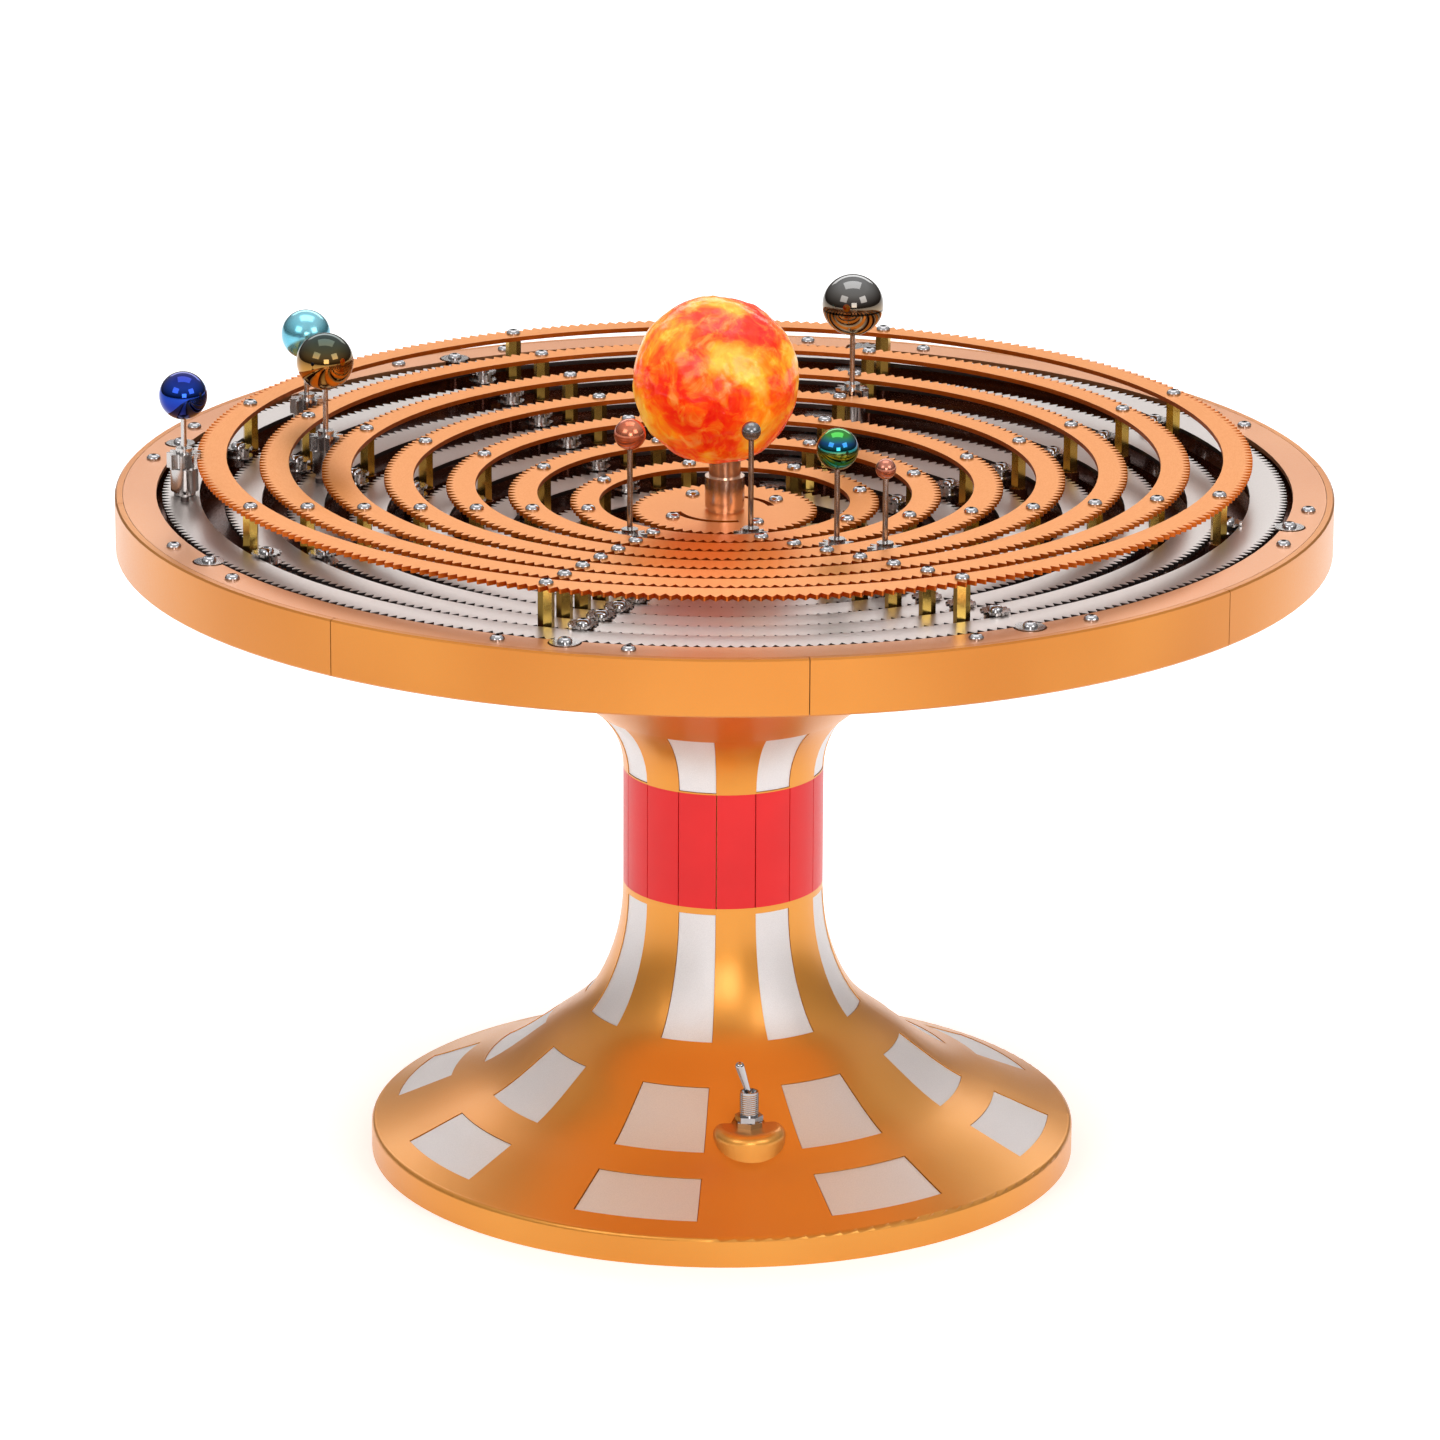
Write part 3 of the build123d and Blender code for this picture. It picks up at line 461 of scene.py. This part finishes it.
for name, (kind, stops) in ballTintsAndReflections.items():
    low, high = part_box(name + "_ball")
    middle = (low[2] + high[2]) / 2
    radius = (high[2] - low[2]) / 2
    if kind == "pearl":
        tint = pearlBall(name + "Pearl", stops)
    elif kind == "mirror":
        tint = mirrorBall(name + "Mirror", middle, radius, stops)
    else:
        tint = seamedBall(name + "Mirror", middle, radius, stops, seamLine)
    giveFinish(nodes[name + "_ball"], tint)
print("planet balls tinted")


# softened edges on the machined parts, by width
edgeRound = {
    "base_shell": 0.0007, "rim_wall": 0.0002, "rim_plate": 0.00018, "neck_flare": 0.0002,
    "sun_post": 0.0003, "red_band": 0.00025, "switch_body": 0.00012, "silver_inlays": 0.00008,
}
sharpFrom = 62.0        # degrees between faces before an edge is softened


def roundEdges(obj, width):
    m = obj.modifiers.new("edge", "BEVEL")
    m.width = width
    m.segments = 2
    m.limit_method = "ANGLE"
    m.angle_limit = math.radians(sharpFrom)
    m.harden_normals = True


for node, width in edgeRound.items():
    roundEdges(nodes[node], width)
print("edges rounded")


def addPiece(name, mesh, body, material, smooth=True):
    obj = bpy.data.objects.new(name, mesh)
    bpy.context.scene.collection.objects.link(obj)
    mesh.materials.append(material)
    if smooth:
        for face in mesh.polygons:
            face.use_smooth = True
    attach(obj, body)
    return obj


def meshFrom(name, bm):
    bmesh.ops.recalc_face_normals(bm, faces=bm.faces)
    mesh = bpy.data.meshes.new(name)
    bm.to_mesh(mesh)
    bm.free()
    return mesh


# sun: a hand-cast, slightly lumpy globe
sun = {
    "lump": 0.0009,         # how deep the slow lumps are
    "lumpSize": 2.6,        # a larger number makes smaller lumps
    "lumpStart": (3.1, 0.4, 7.7),
    "ripple": 0.0003,
    "rippleSize": 9.0,
    "rippleStart": (1.0, 5.2, 2.2),
    "lift": 0.0002,
    "seam": 0.00018,        # mould seam that stands round it
    "seamTurn": 12.0,       # degrees about the upright axis
    "seamWidth": 0.012,     # as a share of the radius
    "detail": 6,
}


def makeSun(c):
    low, high = (Vector(v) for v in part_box("sun_globe"))
    radius = (high.x - low.x) / 2
    centre = Vector(((low.x + high.x) / 2, (low.y + high.y) / 2, high.z - radius))
    bm = bmesh.new()
    bmesh.ops.create_icosphere(bm, subdivisions=c["detail"], radius=1.0)
    turn = math.radians(c["seamTurn"])
    across = Vector((math.cos(turn), math.sin(turn), 0.0))
    for v in bm.verts:
        n = v.co.normalized()
        slow = noise.noise(n * c["lumpSize"] + Vector(c["lumpStart"]))
        ripple = noise.noise(n * c["rippleSize"] + Vector(c["rippleStart"]))
        seam = math.exp(-(n.dot(across) / c["seamWidth"]) ** 2)
        out = c["lift"] + c["lump"] * slow + c["ripple"] * ripple + c["seam"] * seam
        v.co = centre + n * (radius + out)
    mesh = meshFrom("sunGlobe", bm)
    globe = addPiece("sunGlobe", mesh, "stand", sunResin("sunResin"))
    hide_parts("sun_globe")


makeSun(sun)
print("sun made")


# switch bushing thread
thread = {
    "pitch": 0.0007,
    "depth": 0.00022,
    "steps": 40,            # to each turn
    "clear": 0.0006,        # plain lead at the mouth of the bushing
    "reach": 0.0078,        # thread's foot below the mouth
    "core": 0.00295,        # radius the thread grows from, just under the bushing's
    "sunk": 0.0001,         # how far its root is set into the bushing
    "share": 0.42,          # half the thread's width, as a share of the pitch
    "lead": 10,             # steps over which it fades in and out
}


def makeThread(c):
    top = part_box("switch_body")[1][2]
    joint = [j for j in frame["record"]["behaviour"]["joints"] if j["name"] == "switch_throw"][0]
    x, y = joint["pos_m"][:2]
    bottom = top - c["reach"]
    turns = (top - c["clear"] - bottom) / c["pitch"]
    half = c["pitch"] * c["share"]
    root = c["core"] - c["sunk"]
    bm = bmesh.new()
    rows = []
    count = int(turns * c["steps"])
    for n in range(count + 1):
        a = 2 * math.pi * n / c["steps"]
        z = bottom + c["pitch"] * n / c["steps"]
        cs, sn = math.cos(a), math.sin(a)
        fade = min(1.0, n / c["lead"], (count - n) / c["lead"])
        tip = c["core"] + c["depth"] * fade
        rows.append([bm.verts.new((x + r * cs, y + r * sn, z + dz)) for r, dz in
                     ((root, -half), (tip, 0.0), (root, half))])
    for a, b in zip(rows, rows[1:]):
        for k in range(3):
            bm.faces.new((a[k], b[k], b[(k + 1) % 3], a[(k + 1) % 3]))
    bm.faces.new(rows[0])
    bm.faces.new(rows[-1])
    mesh = meshFrom("bushingThread", bm)
    addPiece("bushingThread", mesh, "stand", finishes["chrome"], False)


makeThread(thread)
print("thread made")


# floor, backdrop and soft light
studio = {
    "floorSize": 14.0,
    "floorTone": (250, 250, 250),
    "floorCloud": (246, 246, 247),
    "floorGlow": 0.42,
    "horizon": (96, 88, 82),
    "horizonAt": 0.05,
    "zenith": (255, 255, 255),
    "zenithAt": 0.75,
    "worldStrength": 0.8,
}
lamps = {
    "keyLeft": {"place": (-1.5, -1.7, 1.7), "aim": (0.0, 0.0, 0.15),
                "wide": 1.3, "high": 1.1, "power": 11.0},
    "keyRight": {"place": (1.6, -1.5, 1.5), "aim": (0.0, 0.0, 0.15),
                 "wide": 1.1, "high": 1.0, "power": 10.5},
    "topSoft": {"place": (0.0, 0.3, 2.1), "aim": (0.0, 0.0, 0.2),
                "wide": 1.6, "high": 1.2, "power": 10.0},
    "backStrip": {"place": (0.0, 2.0, 1.2), "aim": (0.0, 0.0, 0.25),
                  "wide": 2.4, "high": 0.6, "power": 9.0},
    "frontLow": {"place": (0.2, -2.2, 0.75), "aim": (0.0, 0.0, 0.08),
                 "wide": 0.8, "high": 0.7, "power": 9.5},
}


def makeWorld(c):
    # bright overhead and dim at the horizon, so metal shows soft bands
    world = bpy.data.worlds.new("studio")
    world.use_nodes = True
    tree = world.node_tree
    back = tree.nodes["Background"]
    back.inputs["Strength"].default_value = c["worldStrength"]
    split = tree.nodes.new("ShaderNodeSeparateXYZ")
    tree.links.new(tree.nodes.new("ShaderNodeTexCoord").outputs["Generated"], split.inputs[0])
    ramp = tree.nodes.new("ShaderNodeValToRGB")
    for element, key in zip(ramp.color_ramp.elements, ("horizon", "zenith")):
        element.position = c[key + "At"]
        element.color = (*linear(c[key]), 1.0)
    tree.links.new(split.outputs["Z"], ramp.inputs["Fac"])
    tree.links.new(ramp.outputs["Color"], back.inputs["Color"])
    bpy.context.scene.world = world


def makeStudio(c):
    bm = bmesh.new()
    half = c["floorSize"] / 2
    corners = ((-1, -1), (1, -1), (1, 1), (-1, 1))
    bm.faces.new([bm.verts.new((x * half, y * half, 0.0)) for x, y in corners])
    mesh = meshFrom("floor", bm)
    floor = bpy.data.objects.new("floor", mesh)
    bpy.context.scene.collection.objects.link(floor)
    s = Shader("paperFloor", rough=0.9, specular=0.1, glow=c["floorGlow"])
    tone = s.mix(s.span(s.noise(3.0), 0.0, 0.3), c["floorTone"], c["floorCloud"])
    s.colour(tone)
    s.link(tone, s.skin.inputs["Emission Color"])
    mesh.materials.append(s.mat)
    floor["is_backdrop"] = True
    makeWorld(c)
    for name, lampSet in lamps.items():
        data = bpy.data.lights.new(name, "AREA")
        data.shape = "RECTANGLE"
        data.size = lampSet["wide"]
        data.size_y = lampSet["high"]
        data.energy = lampSet["power"]
        lamp = bpy.data.objects.new(name, data)
        bpy.context.scene.collection.objects.link(lamp)
        lamp.location = lampSet["place"]
        aim = Vector(lampSet["aim"]) - Vector(lampSet["place"])
        lamp.rotation_euler = aim.to_track_quat("-Z", "Y").to_euler()


makeStudio(studio)
bpy.context.scene.view_settings.view_transform = "Standard"
print("studio lit")

low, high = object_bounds()
